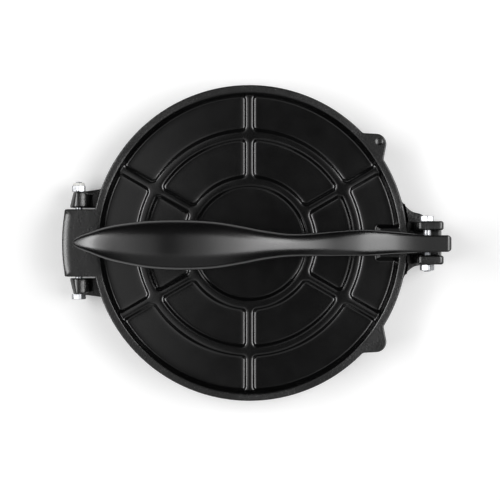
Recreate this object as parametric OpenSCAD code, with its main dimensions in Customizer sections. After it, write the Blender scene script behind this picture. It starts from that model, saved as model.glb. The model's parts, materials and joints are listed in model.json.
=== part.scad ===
// Hand press for tortillas: two round cast plates hinged at the back,
// closed by a cast lever that pivots at the front and bears on the upper plate.
// The origin is on the disc axis at the underside. +X points to the lever pivot.

/* [Plates] */
// Diameter of both plates
plate_d = 170; // [120:1:260]
// Height of the lower plate's pressing face above the table
base_h = 10; // [8:0.5:20]
// Depth of the recess under the lower plate
recess_d = 4; // [1:0.5:5]
// Width of the foot ring under the lower plate
foot_w = 8; // [5:0.5:14]
// Radius of the standing boss at the middle of the underside
boss_r = 14; // [8:1:22]
// Gap between the two closed pressing faces
face_gap = 0.3; // [0.2:0.1:1]
// Thickness of the upper plate's floor
floor_t = 4; // [3:0.5:8]
// Height of the upper plate's ribs and rings above its floor
rib_h = 1.5; // [1:0.1:3.5]
// Height of the upper plate's rim above its floor
rim_h = 4.2; // [3:0.1:7]

/* [Ribs and rings] */
// Flat top width of the rim
rim_w = 4.1; // [3:0.1:8]
// Slope width of the rim's inner wall
rim_draft = 2.1; // [1:0.1:4]
// Middle radius of the outer ring
ring_outer_r = 58.3; // [46:0.1:68]
// Flat top width of the outer ring
ring_outer_w = 4; // [2:0.1:6]
// Middle radius of the inner ring
ring_inner_r = 33.1; // [24:0.1:40]
// Flat top width of the inner ring
ring_inner_w = 4.1; // [2:0.1:6]
// Number of radial ribs
rib_count = 6; // [4:1:12]
// Angle of the first radial rib
rib_start = 30; // [0:5:60]
// Flat top width of a radial rib
rib_w = 3.2; // [2:0.1:6]
// Slope width of each side of the ribs and rings
rib_draft = 1.2; // [0.5:0.1:2.5]
// How far the radial ribs lie below the rings' tops
rib_drop = 0.1; // [0.05:0.05:0.5]

/* [Lift tabs] */
// Angle of each tab from the lever side
tab_angle = 38; // [25:1:60]
// Radius of a tab's rounded tip
tab_r = 5.6; // [4:0.1:9]
// How far the tab's centre stands outside the plate's edge
tab_out = 1.4; // [0:0.1:5]
// Thickness of a tab
tab_t = 5; // [3:0.5:8]
// Half angle between a tab's flanks and the radial line
tab_flare = 41; // [30:1:50]
// Radius of the dimple in the left tab
dimple_r = 2.4; // [1:0.1:4]
// Depth of the dimple
dimple_d = 0.4; // [0.2:0.1:1]
// Distance of the dimple outward from the tab's centre
dimple_out = 2; // [0:0.1:3]

/* [Bearing pad] */
// Width of the pad that the lever bears on
pad_w = 18.3; // [12:0.1:26]
// Length of the pad inward from the rim's inner wall
pad_len = 12.1; // [8:0.1:20]
// Corner radius of the pad
pad_r = 1.6; // [0.5:0.1:3]

/* [Hinge] */
// Distance of the hinge axis outside the plate's edge
hinge_out = 7.5; // [7:0.1:14]
// Width of the knuckle on the upper plate
knuckle_w = 36.4; // [24:0.2:50]
// Radius of the knuckle's round underside
knuckle_r = 8.2; // [6:0.1:10]
// Radius of the knuckle's rounded top corner
knuckle_round = 3.3; // [1:0.1:4]
// Side gap between the knuckle and each lug
knuckle_gap = 0.9; // [0.3:0.1:2]
// Thickness of each hinge lug on the lower plate
hinge_lug_t = 8.6; // [5:0.1:14]
// Radius of the hinge lugs
hinge_lug_r = 6.4; // [5:0.1:8]
// Reach of the knuckle's end past the hinge axis
knuckle_reach = 8.5; // [7.5:0.1:11]
// How much less far the hinge lugs reach than the knuckle
lug_setback = 1.8; // [0.5:0.1:3]

/* [Lever lugs] */
// Distance of the lever pivot outside the plate's edge
pivot_out = 9.2; // [8.8:0.1:16]
// Height of the lever pivot above the upper plate's rim
pivot_rise = 13.5; // [12.5:0.1:20]
// Inner distance between the two lever lugs
lever_slot = 13.4; // [11.5:0.1:20]
// Thickness of each lever lug
lever_lug_t = 4.8; // [3.5:0.1:8]
// Reach of a lever lug behind its bolt
lug_back = 4.6; // [4.3:0.1:7]
// Reach of a lever lug in front of its bolt
lug_front = 8.5; // [4.5:0.1:12]
// Height of a lever lug above its bolt
lug_top = 5.4; // [4.4:0.1:9]
// Corner radius of a lever lug
lug_round = 2.3; // [0.5:0.1:4]
// Half width of the front tongue where it leaves the plate
tongue_root = 22; // [18:0.5:30]

/* [Lever] */
// Length of the lever from its pivot to the tip of its handle
lever_len = 185.4; // [160:0.1:260]
// Half width of the handle's leaf
leaf_half = 12.95; // [9:0.05:18]
// Half width of the neck
neck_half = 6.05; // [5:0.05:9]
// Half width of the swell over the bearing nose
swell_half = 6.9; // [5:0.05:10]
// Half width at the pivot
eye_half = 4.25; // [3:0.05:5.5]
// Height of the handle's crest above the pivot
crest_rise = 37; // [30:0.5:50]
// Thickness of the handle's leaf
leaf_t = 8; // [5:0.5:14]
// Reach of the lever's heel in front of the pivot
heel_len = 12.4; // [8:0.1:13]
// Height of the lever's top above the pivot
heel_top = 6.4; // [4.5:0.1:8]
// Depth of the heel below the pivot
heel_low = 6.4; // [4.5:0.1:7]
// Distance of the bearing nose from the pivot
nose_back = 23.7; // [20:0.1:25]
// Radius of the bearing nose
nose_r = 2.6; // [2:0.1:3.5]
// Gap between the nose and the pad when closed
nose_gap = 0.3; // [0.1:0.1:0.5]

/* [Bolts] */
// Diameter of both bolts
bolt_d = 4; // [3:0.5:6]
// Radial clearance of the bolts in their holes
bolt_fit = 0.05; // [0.02:0.01:0.1]
// Width across flats of the bolt heads and nuts
hex_af = 7; // [5.5:0.5:10]
// Height of a bolt head
head_h = 2.8; // [2:0.1:5]
// Height of the plain nut on the lever bolt
nut_h = 3.2; // [2:0.1:5]
// Height of the steel part of the hinge bolt's lock nut
lock_nut_h = 3.4; // [2:0.1:5]
// Height of the nylon collar in the lock nut
collar_h = 1.4; // [0.8:0.1:2.5]
// Length of thread that stands past a nut
thread_out = 0.6; // [0:0.1:3]

/* [Hidden] */
$fn = 96;

// Hair's breadth that keeps faces from coinciding
eps = 0.01;
// How far a shape runs into its neighbour, or a cutter past the surface
lap = 1;
// Facets of the large arcs
arc_fn = 180;

plate_r = plate_d / 2;
face_z = base_h + face_gap;
floor_z = face_z + floor_t;
rim_z = floor_z + rim_h;

hinge_x = -(plate_r + hinge_out);
hinge_z = base_h + face_gap / 2;
knuckle_end_r = -hinge_x + knuckle_reach;
lug_end_r = knuckle_end_r - lug_setback;
lug_in = knuckle_w / 2 + knuckle_gap;
lug_out = lug_in + hinge_lug_t;

pivot_x = plate_r + pivot_out;
pivot_z = rim_z + pivot_rise;
slot_half = lever_slot / 2;
ear_out = slot_half + lever_lug_t;
ear_x0 = pivot_x - lug_back;
ear_x1 = pivot_x + lug_front;

bolt_r = bolt_d / 2;
hole_r = bolt_r + bolt_fit;
hex_r = hex_af / 2 / cos(30);

// Chamfer of the lower plate's edges and of the upper plate's lower edge
edge_r = 0.8;
// Round of the rim's upper edge
rim_round = 0.8;
// Draft of the recess's walls
recess_draft = 1;
// Height of the underside's ribs above the table, and their width
under_rib_z = 0.5;
under_rib_w = 4;
// Height of the lugs' and tongue's underside above the table
lug_low = 1.5;
// How far the hinge lugs' backs lean in towards the table
lug_rake = 2;
// Depth of the hinge lugs' webs below the hinge axis
web_drop = 2;
// Radius of the flares beside the hinge lugs, and their depth below the face
flare_r = 6;
flare_drop = 3.5;
// Height of the tongue above the pressing face
tongue_rise = 2;
// How far inside the disc's edge the tongue's concave sides begin
tongue_inset = 1.5;
// Room round the knuckle in the lower plate
knuckle_room = 0.6;
// How far a tab's root runs in under the rim
tab_root = 6;
// Corner cut of the lever's heel
heel_cut = 1.8;
// Chamfer of the nuts' collar, and slope of the hexagons' corners
collar_step = 0.4;
hex_slope = 1.7;

black_iron = "#262628";
black_lever = "#1c1c1e";
zinc = "#c9cbcf";
nylon = "#e8e8e2";

// ---- curves ----

// Slope at station i of a list of [x, value], from its two neighbours
function slope(s, i) =
    let (a = max(i - 1, 0), b = min(i + 1, len(s) - 1))
    (s[b][1] - s[a][1]) / (s[b][0] - s[a][0]);

// Point at share t between stations i and i + 1, on a smooth cubic
function blend(s, i, t) =
    let (
        h = s[i + 1][0] - s[i][0],
        m0 = slope(s, i) * h,
        m1 = slope(s, i + 1) * h
    )
    [
        s[i][0] + h * t,
        (2 * t^3 - 3 * t^2 + 1) * s[i][1] + (t^3 - 2 * t^2 + t) * m0
        + (3 * t^2 - 2 * t^3) * s[i + 1][1] + (t^3 - t^2) * m1
    ];

// Smooth curve through all stations, with n steps between each pair
function smooth(s, n) = concat(
    [for (i = [0:len(s) - 2], j = [0:n - 1]) blend(s, i, j / n)],
    [s[len(s) - 1]]
);

function reversed(p) = [for (i = [len(p) - 1:-1:0]) p[i]];

// Points of an arc about c from angle a0 to a1
function arc(c, r, a0, a1, n) = [
    for (i = [0:n])
        let (a = a0 + (a1 - a0) * i / n)
        [c[0] + r * cos(a), c[1] + r * sin(a)]
];

// ---- shared shapes ----

// Turns a drawing in X and Z into a slab across the part, between y0 and y1
module across(y0, y1) {
    translate([0, y1, 0])
        rotate([90, 0, 0])
            linear_extrude(height = y1 - y0)
                children();
}

// Round bar along Y
module cross_bar(x, z, r, y0, y1) {
    translate([x, y0, z])
        rotate([-90, 0, 0])
            cylinder(r = r, h = y1 - y0);
}

// Rectangle from corner a to corner b with rounded corners
module round_rect(a, b, r) {
    translate([a[0], a[1] + r])
        square([b[0] - a[0], b[1] - a[1] - 2 * r]);
    translate([a[0] + r, a[1]])
        square([b[0] - a[0] - 2 * r, b[1] - a[1]]);
    for (x = [a[0] + r, b[0] - r], y = [a[1] + r, b[1] - r])
        translate([x, y])
            circle(r = r);
}

// Both halves of something that is the same on each side of the X axis
module both_sides() {
    children();
    mirror([0, 1, 0]) children();
}

// Section of a drafted rib, standing on the X axis
function rib_section(w, draft, h) = [
    [-w / 2 - draft, -eps], [-w / 2, h], [w / 2, h], [w / 2 + draft, -eps]
];

// ---- lower plate ----

module base_disc() {
    rotate_extrude()
        polygon([
            [0, 0], [boss_r, 0], [boss_r + recess_draft, recess_d],
            [plate_r - foot_w - recess_draft, recess_d], [plate_r - foot_w, 0],
            [plate_r - edge_r, 0], [plate_r, edge_r],
            [plate_r, base_h - edge_r / 2], [plate_r - edge_r / 2, base_h],
            [0, base_h]
        ]);
}

// Shallow ribs and one ring that stiffen the underside
module base_ribs() {
    rotate_extrude()
        translate([ring_outer_r - under_rib_w / 2, under_rib_z])
            square([under_rib_w, recess_d]);
    for (i = [0:rib_count - 1])
        rotate(rib_start + i * 360 / rib_count)
            translate([boss_r - lap, -under_rib_w / 2, under_rib_z])
                cube([plate_r - foot_w - boss_r + lap, under_rib_w, recess_d]);
}

// One lug of the hinge: a round eye on a web that runs back under the plate
module hinge_lug() {
    web_x = hinge_x + 3 * hinge_lug_r;
    intersection() {
        union() {
            cross_bar(hinge_x, hinge_z, hinge_lug_r, lug_in, lug_out);
            across(lug_in, lug_out)
                polygon([
                    [hinge_x - hinge_lug_r, hinge_z],
                    [hinge_x - hinge_lug_r + lug_rake, lug_low],
                    [web_x, lug_low],
                    [web_x, hinge_z - web_drop],
                    [hinge_x, hinge_z]
                ]);
        }
        cylinder(r = lug_end_r, h = rim_z * 2, $fn = arc_fn);
    }
}

// Concave flare from the disc's edge to the outer face of a hinge lug
module hinge_flare() {
    x0 = -sqrt(plate_r^2 - lug_out^2) - lap;
    translate([0, 0, lug_low])
        linear_extrude(height = base_h - flare_drop - lug_low)
            difference() {
                translate([x0 - flare_r + 3 * lap, lug_out - lap])
                    square([flare_r + 3 * lap, flare_r + lap]);
                translate([x0 - flare_r + 2 * lap, lug_out + flare_r])
                    circle(r = flare_r);
            }
}

// Front tongue that carries the two lever lugs, with concave sides
module tongue() {
    r = tongue_root - ear_out;
    x0 = sqrt(plate_r^2 - tongue_root^2) - tongue_inset;
    back_x = plate_r - 3 * lap;
    root_w = 6 * lap;
    translate([0, 0, lug_low])
        linear_extrude(height = base_h + tongue_rise - lug_low)
            difference() {
                union() {
                    translate([back_x, -ear_out])
                        square([ear_x1 - lug_round - back_x, 2 * ear_out]);
                    round_rect([plate_r, -ear_out], [ear_x1, ear_out], lug_round);
                    translate([x0 - root_w, -tongue_root])
                        square([r + root_w, 2 * tongue_root]);
                }
                both_sides()
                    translate([x0 + r, tongue_root])
                        circle(r = r);
                circle(r = plate_r - 4 * lap);
            }
}

// One upright lug for the lever bolt, with a fillet at its foot
module lever_ear() {
    foot_z = base_h + tongue_rise;
    fillet = ear_x0 - plate_r - lap;
    across(slot_half, ear_out) {
        round_rect([ear_x0, lug_low], [ear_x1, pivot_z + lug_top], lug_round);
        difference() {
            translate([ear_x0 - fillet, foot_z - lap])
                square([fillet + lap, fillet + lap]);
            translate([ear_x0 - fillet, foot_z + fillet])
                circle(r = fillet);
        }
    }
}

module base_plate() {
    color(black_iron)
        difference() {
            union() {
                base_disc();
                base_ribs();
                both_sides() {
                    hinge_lug();
                    hinge_flare();
                    lever_ear();
                }
                tongue();
            }
            // room above the pressing face for the upper plate to close
            translate([0, 0, base_h])
                cylinder(r = plate_r + lap, h = floor_z);
            // relief for the knuckle
            cross_bar(hinge_x, hinge_z, knuckle_r + knuckle_room, -lug_in, lug_in);
            cross_bar(hinge_x, hinge_z, hole_r, -lug_out - lap, lug_out + lap);
            cross_bar(pivot_x, pivot_z, hole_r, -ear_out - lap, ear_out + lap);
        }
}

// ---- upper plate ----

// Rim, floor and both rings in one turned section
module top_disc() {
    in_r = plate_r - rim_w;
    rotate_extrude()
        polygon(concat(
            [[0, face_z], [plate_r - edge_r, face_z], [plate_r, face_z + edge_r]],
            arc([plate_r - rim_round, rim_z - rim_round], rim_round, 0, 90, 6),
            [[in_r, rim_z], [in_r - rim_draft, floor_z], [0, floor_z]]
        ));
    for (ring = [[ring_outer_r, ring_outer_w], [ring_inner_r, ring_inner_w]])
        rotate_extrude()
            translate([ring[0], floor_z])
                polygon(rib_section(ring[1], rib_draft, rib_h));
}

module top_ribs() {
    r0 = ring_inner_r;
    r1 = plate_r - rim_w - rim_draft / 2;
    for (i = [0:rib_count - 1])
        rotate(rib_start + i * 360 / rib_count)
            translate([r1, 0, floor_z])
                rotate([90, 0, -90])
                    linear_extrude(height = r1 - r0)
                        polygon(rib_section(rib_w, rib_draft, rib_h - rib_drop));
}

// One lift tab: a round tip that flares back into the rim
module lift_tab() {
    c = plate_r + tab_out;
    touch = [c + tab_r * sin(tab_flare), tab_r * cos(tab_flare)];
    back = tab_out + tab_root;
    rotate(tab_angle)
        translate([0, 0, rim_z - tab_t])
            linear_extrude(height = tab_t) {
                translate([c, 0])
                    circle(r = tab_r);
                polygon([
                    touch,
                    touch + back * [-cos(tab_flare), sin(tab_flare)],
                    [touch[0] - back * cos(tab_flare), -touch[1] - back * sin(tab_flare)],
                    [touch[0], -touch[1]]
                ]);
            }
}

// Block that the lever's nose bears on, run into the rim
module bearing_pad() {
    x1 = plate_r - rim_w;
    translate([0, 0, floor_z - eps])
        linear_extrude(height = rim_z - floor_z + eps)
            round_rect([x1 - pad_len, -pad_w / 2], [x1 + lap, pad_w / 2], pad_r);
}

// Hinge knuckle: round below the axis, flat on top and flush with the rim
module knuckle() {
    half = knuckle_w / 2;
    in_r = plate_r - 3 * lap;
    intersection() {
        union() {
            rotate_extrude($fn = arc_fn)
                polygon(concat(
                    [[in_r, hinge_z], [knuckle_end_r, hinge_z]],
                    arc([knuckle_end_r - knuckle_round, rim_z - knuckle_round],
                        knuckle_round, 0, 90, 8),
                    [[in_r, rim_z]]
                ));
            cross_bar(hinge_x, hinge_z, knuckle_r, -half, half);
        }
        translate([-knuckle_end_r - lap, -half, 0])
            cube([knuckle_end_r - in_r + 2 * lap, knuckle_w, rim_z + lap]);
        cylinder(r = knuckle_end_r, h = rim_z + lap, $fn = arc_fn);
    }
}

module top_plate() {
    color(black_iron)
        difference() {
            union() {
                top_disc();
                top_ribs();
                bearing_pad();
                lift_tab();
                mirror([0, 1, 0]) lift_tab();
                knuckle();
            }
            rotate(tab_angle)
                translate([plate_r + tab_out + dimple_out, 0, rim_z - dimple_d])
                    cylinder(r = dimple_r, h = dimple_d + lap);
            cross_bar(hinge_x, hinge_z, hole_r, -knuckle_w, knuckle_w);
        }
}

// ---- lever ----

tip_x = pivot_x - lever_len;
nose_x = pivot_x - nose_back;
crest_z = pivot_z + crest_rise;
heel_x = pivot_x + heel_len;

// Stations of half width along the lever, from the tip to the heel
function width_stations() = [
    [tip_x, 0],
    [tip_x + 0.134 * lever_len, 0.776 * leaf_half],
    [tip_x + 0.309 * lever_len, leaf_half],
    [tip_x + 0.48 * lever_len, 0.78 * leaf_half],
    [tip_x + 0.562 * lever_len, 0.564 * leaf_half],
    [tip_x + 0.654 * lever_len, neck_half],
    [tip_x + 0.825 * lever_len, swell_half],
    [pivot_x - 12, (swell_half + eye_half) / 2],
    [pivot_x - 2, eye_half],
    [heel_x, eye_half]
];

// Half widths run smoothly when their squares do, which rounds the tip
function half_widths() = [
    for (p = smooth([for (s = width_stations()) [s[0], s[1]^2]], 6))
        [p[0], sqrt(max(p[1], 0))]
];

// Height along the lever's top, from the tip to the heel
function top_line() = smooth([
    [tip_x, crest_z - 10.5],
    [tip_x + 0.012 * lever_len, crest_z - 7.2],
    [tip_x + 0.04 * lever_len, crest_z - 4.6],
    [tip_x + 0.11 * lever_len, crest_z - 1.6],
    [tip_x + 0.244 * lever_len, crest_z],
    [tip_x + 0.36 * lever_len, crest_z - 1.2],
    [tip_x + 0.48 * lever_len, crest_z - 0.14 * crest_rise],
    [tip_x + 0.605 * lever_len, crest_z - 0.345 * crest_rise],
    [tip_x + 0.73 * lever_len, crest_z - 0.51 * crest_rise],
    [tip_x + 0.8 * lever_len, crest_z - 0.58 * crest_rise],
    [tip_x + 0.88 * lever_len, crest_z - 0.71 * crest_rise],
    [pivot_x - 9, pivot_z + heel_top + 0.6],
    [pivot_x, pivot_z + heel_top],
    [heel_x - heel_cut, pivot_z + heel_top]
], 5);

// Underside from the tip to the root of the nose
function bottom_line() = smooth([
    [tip_x, crest_z - 10.5],
    [tip_x + 0.02 * lever_len, crest_z - leaf_t - 5.2],
    [tip_x + 0.09 * lever_len, crest_z - leaf_t - 2],
    [tip_x + 0.244 * lever_len, crest_z - leaf_t],
    [tip_x + 0.43 * lever_len, crest_z - leaf_t - 0.13 * crest_rise],
    [tip_x + 0.6 * lever_len, crest_z - leaf_t - 0.41 * crest_rise],
    [tip_x + 0.7 * lever_len, crest_z - leaf_t - 0.56 * crest_rise],
    [nose_x - nose_r - 9, pivot_z + 3.4],
    [nose_x - nose_r - 2.6, pivot_z - 2.6],
    [nose_x - nose_r, rim_z + nose_gap + nose_r]
], 5);

// Lever seen from the side
module lever_side() {
    nose_z = rim_z + nose_gap + nose_r;
    polygon(concat(
        top_line(),
        [
            [heel_x, pivot_z + heel_top - heel_cut],
            [heel_x, pivot_z - heel_low + heel_cut],
            [heel_x - heel_cut, pivot_z - heel_low],
            [pivot_x - 2, pivot_z - heel_low],
            [pivot_x - 8, pivot_z - 3],
            [nose_x + nose_r + 2, pivot_z - 4],
            [nose_x + nose_r, nose_z + 2]
        ],
        arc([nose_x, nose_z], nose_r, 0, -180, 12),
        reversed(bottom_line())
    ));
}

// Lever seen from above
module lever_outline() {
    w = half_widths();
    polygon(concat(
        [for (p = w) [p[0], p[1]]],
        [for (i = [len(w) - 1:-1:1]) [w[i][0], -w[i][1]]]
    ));
}

module lever() {
    color(black_lever)
        difference() {
            intersection() {
                across(-leaf_half - lap, leaf_half + lap)
                    lever_side();
                linear_extrude(height = crest_z + lap)
                    lever_outline();
            }
            cross_bar(pivot_x, pivot_z, hole_r, -eye_half - lap, eye_half + lap);
        }
}

// ---- bolts and nuts ----

// Hexagon along Y with chamfered outer corners, its outer face at y1
module hex_along_y(y0, y1, turn) {
    out = y1 > y0 ? 1 : -1;
    h = abs(y1 - y0);
    rotate([-90 * out, 0, 0])
        intersection() {
            rotate(turn)
                cylinder(r = hex_r, h = h, $fn = 6);
            cylinder(r1 = hex_r + h * hex_slope, r2 = hex_af / 2, h = h + eps);
        }
}

// Bolt along Y: shank from head_y to end_y, hexagon head outside head_y
module bolt(x, z, head_y, end_y, turn) {
    out = head_y > end_y ? 1 : -1;
    color(zinc)
        union() {
            cross_bar(x, z, bolt_r, min(head_y, end_y), max(head_y, end_y));
            translate([x, head_y, z])
                hex_along_y(0, out * head_h, turn);
        }
}

// Nut along Y against the face at y, on the side that out points to
module nut(x, z, y, out, h, turn) {
    difference() {
        translate([x, y, z])
            hex_along_y(0, out * h, turn);
        cross_bar(x, z, bolt_r, y - h - lap, y + h + lap);
    }
}

module hinge_bolt() {
    bolt(hinge_x, hinge_z, -lug_out, lug_out + lock_nut_h + collar_h + thread_out, 0);
}

module hinge_lock_nut() {
    color(zinc)
        nut(hinge_x, hinge_z, lug_out, 1, lock_nut_h, 30);
}

// Nylon collar that grips the thread
module hinge_nut_collar() {
    y0 = lug_out + lock_nut_h;
    color(nylon)
        difference() {
            cross_bar(hinge_x, hinge_z, hex_af / 2 - collar_step, y0, y0 + collar_h);
            cross_bar(hinge_x, hinge_z, bolt_r, y0 - lap, y0 + collar_h + lap);
        }
}

module lever_bolt() {
    bolt(pivot_x, pivot_z, ear_out, -ear_out - nut_h - thread_out, 30);
}

module lever_nut() {
    color(zinc)
        nut(pivot_x, pivot_z, -ear_out, -1, nut_h, 0);
}

base_plate();
top_plate();
lever();
hinge_bolt();
hinge_lock_nut();
hinge_nut_collar();
lever_bolt();
lever_nut();
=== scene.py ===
import json
import math

import bmesh
import bpy
import numpy as np
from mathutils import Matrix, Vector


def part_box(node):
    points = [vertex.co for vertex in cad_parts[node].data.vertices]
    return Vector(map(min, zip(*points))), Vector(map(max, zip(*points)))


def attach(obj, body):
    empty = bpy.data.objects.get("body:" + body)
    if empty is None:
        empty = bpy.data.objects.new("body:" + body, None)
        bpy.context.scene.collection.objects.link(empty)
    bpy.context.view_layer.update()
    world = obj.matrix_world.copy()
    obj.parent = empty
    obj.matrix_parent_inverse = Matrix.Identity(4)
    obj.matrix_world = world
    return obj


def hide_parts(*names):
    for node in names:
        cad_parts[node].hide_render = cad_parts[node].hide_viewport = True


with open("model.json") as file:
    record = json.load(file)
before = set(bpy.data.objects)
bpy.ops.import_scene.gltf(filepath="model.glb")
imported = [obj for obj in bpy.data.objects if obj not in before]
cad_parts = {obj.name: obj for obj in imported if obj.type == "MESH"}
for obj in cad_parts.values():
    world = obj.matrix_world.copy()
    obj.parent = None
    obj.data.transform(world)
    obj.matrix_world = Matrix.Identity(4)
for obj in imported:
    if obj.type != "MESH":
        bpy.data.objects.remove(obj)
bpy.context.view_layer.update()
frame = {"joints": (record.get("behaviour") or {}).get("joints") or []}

scene = bpy.context.scene
scene.view_settings.view_transform = "Standard"


# ---------------------------------------------------------------- lower plate
# The lower casting: sand-cast iron under a black baked coating. The round
# pressing plate stands on its foot ring and middle boss. The hinge lugs at
# the back and the bracket for the lever at the front are cast on to it.

MM = 0.001
joint_at = {j["name"]: np.array(j["pos_m"]) / MM for j in frame["joints"]}
hinge_x, _, hinge_z = joint_at["plate_hinge"]
pivot_x, _, pivot_z = joint_at["lever_swing"]
plate_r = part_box("top_plate")[1].y / MM

base_h = 10.0
face_gap = 0.3
gap_r = plate_r + 1
rib_angles = np.radians(30 + 60 * np.arange(6))
hole_r = 2.05
knuckle_half = 18.2


def spaced(lo, hi, coarse, windows):
    """Values from lo to hi. Their steps are coarse, but close up to each
    window's own step around its centre: the step density is summed along
    the line and the sum is cut into equal shares."""
    x = np.linspace(lo, hi, 20001)
    density = np.full_like(x, 1 / coarse)
    for centre, reach, step in windows:
        near = np.exp(-(((x - centre) / reach) ** 4))
        density = np.maximum(density, near / step)
    count = np.concatenate([[0], np.cumsum((density[1:] + density[:-1]) / 2 * np.diff(x))])
    return np.interp(np.linspace(0, count[-1], int(count[-1]) + 2), count, x)


def through(xs, values, at):
    """A smooth curve through (xs, values), read at `at`: on each stretch a
    cubic, whose end slopes are those of the lines between the neighbours."""
    xs, values = np.asarray(xs, float), np.asarray(values, float)
    slope = np.gradient(values, xs)
    slope[1:-1] = (values[2:] - values[:-2]) / (xs[2:] - xs[:-2])
    i = np.clip(np.searchsorted(xs, at, "right") - 1, 0, len(xs) - 2)
    h = xs[i + 1] - xs[i]
    t = np.clip((at - xs[i]) / h, 0, 1)
    start = (1 + 2 * t) * (1 - t) ** 2 * values[i] + t * (1 - t) ** 2 * h * slope[i]
    end = t * t * (3 - 2 * t) * values[i + 1] + t * t * (t - 1) * h * slope[i + 1]
    return start + end


weld_gap = 0.002
sliver = 0.001
sharp_turn = math.radians(40)


def skin(name, grid, ring=False):
    """A closed mesh from a rows x columns grid of points in millimetres.
    The columns wrap round. The rows wrap too on a ring; otherwise a flat
    face caps each end row. Points in one place are made one point, and the
    faces are turned so that the volume is positive."""
    rows, cols = grid.shape[:2]
    number = np.arange(rows * cols).reshape(rows, cols)
    points = grid.reshape(-1, 3)
    if ring:
        number = np.vstack([number, number[:1]])
    right = np.roll(number, -1, 1)
    quads = np.stack([number[:-1], right[:-1], right[1:], number[1:]], -1).reshape(-1, 4)
    faces = quads.tolist()
    if not ring:
        faces += [number[0, ::-1].tolist(), number[-1].tolist()]
    a, b, c, d = (points[quads[:, k]] for k in range(4))
    volume = np.einsum("ij,ij->", a, np.cross(b, c)) + np.einsum("ij,ij->", a, np.cross(c, d))
    for row, way in ((grid[0], -1), (grid[-1], 1)):
        if not ring:
            fan = np.cross(row - row[0], np.roll(row, -1, 0) - row[0]).sum(0)
            volume += way * row[0] @ fan
    if volume < 0:
        faces = [face[::-1] for face in faces]
    mesh = bpy.data.meshes.new(name)
    mesh.from_pydata((points * MM).tolist(), [], faces)
    weld = bmesh.new()
    weld.from_mesh(mesh)
    bmesh.ops.remove_doubles(weld, verts=weld.verts, dist=weld_gap * MM)
    bmesh.ops.dissolve_degenerate(weld, edges=weld.edges, dist=sliver * MM)
    weld.to_mesh(mesh)
    weld.free()
    return finished(name, mesh)


def finished(name, mesh):
    """An object at the origin that holds the mesh, smooth but for its sharp edges."""
    mesh.shade_smooth()
    mesh.set_sharp_from_angle(angle=sharp_turn)
    piece = bpy.data.objects.new(name, mesh)
    scene.collection.objects.link(piece)
    return piece


def combined(name, body, others, how):
    """One closed mesh: the body with the others united to it or cut from it.
    The others are used up."""
    for other in others:
        change = body.modifiers.new(how, "BOOLEAN")
        change.operation = how
        change.solver = "MANIFOLD"
        change.object = other
    bpy.context.view_layer.update()
    whole = body.evaluated_get(bpy.context.evaluated_depsgraph_get())
    mesh = bpy.data.meshes.new_from_object(whole)
    for used in [body, *others]:
        bpy.data.objects.remove(used)
    return finished(name, mesh)


def bar(x, z, radius, half):
    """A round bar along Y through (x, z), as a grid of two circles."""
    t = np.linspace(0, 2 * np.pi, 64, endpoint=False)
    y = np.array([-half, half])[:, None] + 0 * t
    points = [x + radius * np.cos(t) + 0 * y, y, z + radius * np.sin(t) + 0 * y]
    return skin("bar", np.stack(points, -1))


def ramp(depth, width, height, soft):
    """Height of a cast wall at a distance past its foot: 0 before the foot
    and full past the width, straight between. The difference of two
    hyperbolas rounds the foot and the shoulder over about soft."""
    rise = np.hypot(depth, soft) - np.hypot(depth - width, soft) + width
    return height * rise / (2 * width)


def in_pockets(r, across, bands, rib_foot, corner):
    """How far a point lies inside the pockets between rings and ribs, in mm
    and negative on them. With a the distance in from each bound, the depth
    is corner - |max(corner - a, 0)|, so the pockets' corners are arcs."""
    depth = np.full(np.shape(r), -99.0)
    for inner, outer in bands:
        gaps = np.stack([r - inner, outer - r, across - rib_foot])
        depth = np.maximum(depth, corner - np.linalg.norm(np.maximum(corner - gaps, 0), axis=0))
    return depth


def across_rib(x, y):
    """Distance of a point from the middle line of the nearest radial rib."""
    away = (np.arctan2(y, x) - rib_angles[0]) % (np.pi / 3)
    return np.hypot(x, y) * np.sin(np.minimum(away, np.pi / 3 - away))


def along_walls(t, r, walls):
    """Angles at radius r of the columns that have the angles t at the rim.
    Each wall is (middle angle, offsets across it, least radius): down to
    that radius, the columns at those offsets run along the wall, not
    towards the centre. The rest share what is left."""
    at_rim = np.concatenate([a + np.arcsin(line / plate_r) for a, line, _ in walls])
    at_r = np.concatenate([a + np.arcsin(line / max(r, least)) for a, line, least in walls])
    order = np.argsort(at_rim)
    knots, places = at_rim[order], at_r[order]
    wrap = np.array([-2, 0, 2])[:, None] * np.pi
    return np.interp(t, (knots + wrap).ravel(), (places + wrap).ravel())


def outline_slab(outline, lo, hi, soft):
    """A flat outline (u, v) carried straight from lo to hi, as a grid of
    (u, v, w). At a distance d < soft from either end it is drawn in along
    its normals by soft - sqrt(soft^2 - (soft - d)^2): rounded edges."""
    along = np.roll(outline, -1, 0) - np.roll(outline, 1, 0)
    area = np.cross(outline, np.roll(outline, -1, 0)).sum()
    out = np.stack([along[:, 1], -along[:, 0]], -1) * np.sign(area)
    out /= np.linalg.norm(out, axis=1, keepdims=True)
    d = soft * (1 - np.cos(np.linspace(0, np.pi / 2, 5)))
    level = np.concatenate([lo + d, np.linspace(lo + soft, hi - soft, 6)[1:-1], (hi - d)[::-1]])
    depth = np.minimum(np.minimum(level - lo, hi - level), soft)
    inset = soft - np.sqrt(soft**2 - (soft - depth) ** 2)
    uv = outline - inset[:, None, None] * out
    return np.concatenate([uv, level[:, None, None] + 0 * uv[..., :1]], -1)


def stepped(points, step):
    """The same closed line with its points about a step apart."""
    closed = np.vstack([points, points[:1]])
    run = np.concatenate([[0], np.cumsum(np.linalg.norm(np.diff(closed, axis=0), axis=1))])
    at = np.linspace(0, run[-1], int(run[-1] / step), endpoint=False)
    return np.stack([np.interp(at, run, closed[:, k]) for k in range(2)], -1)


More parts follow.
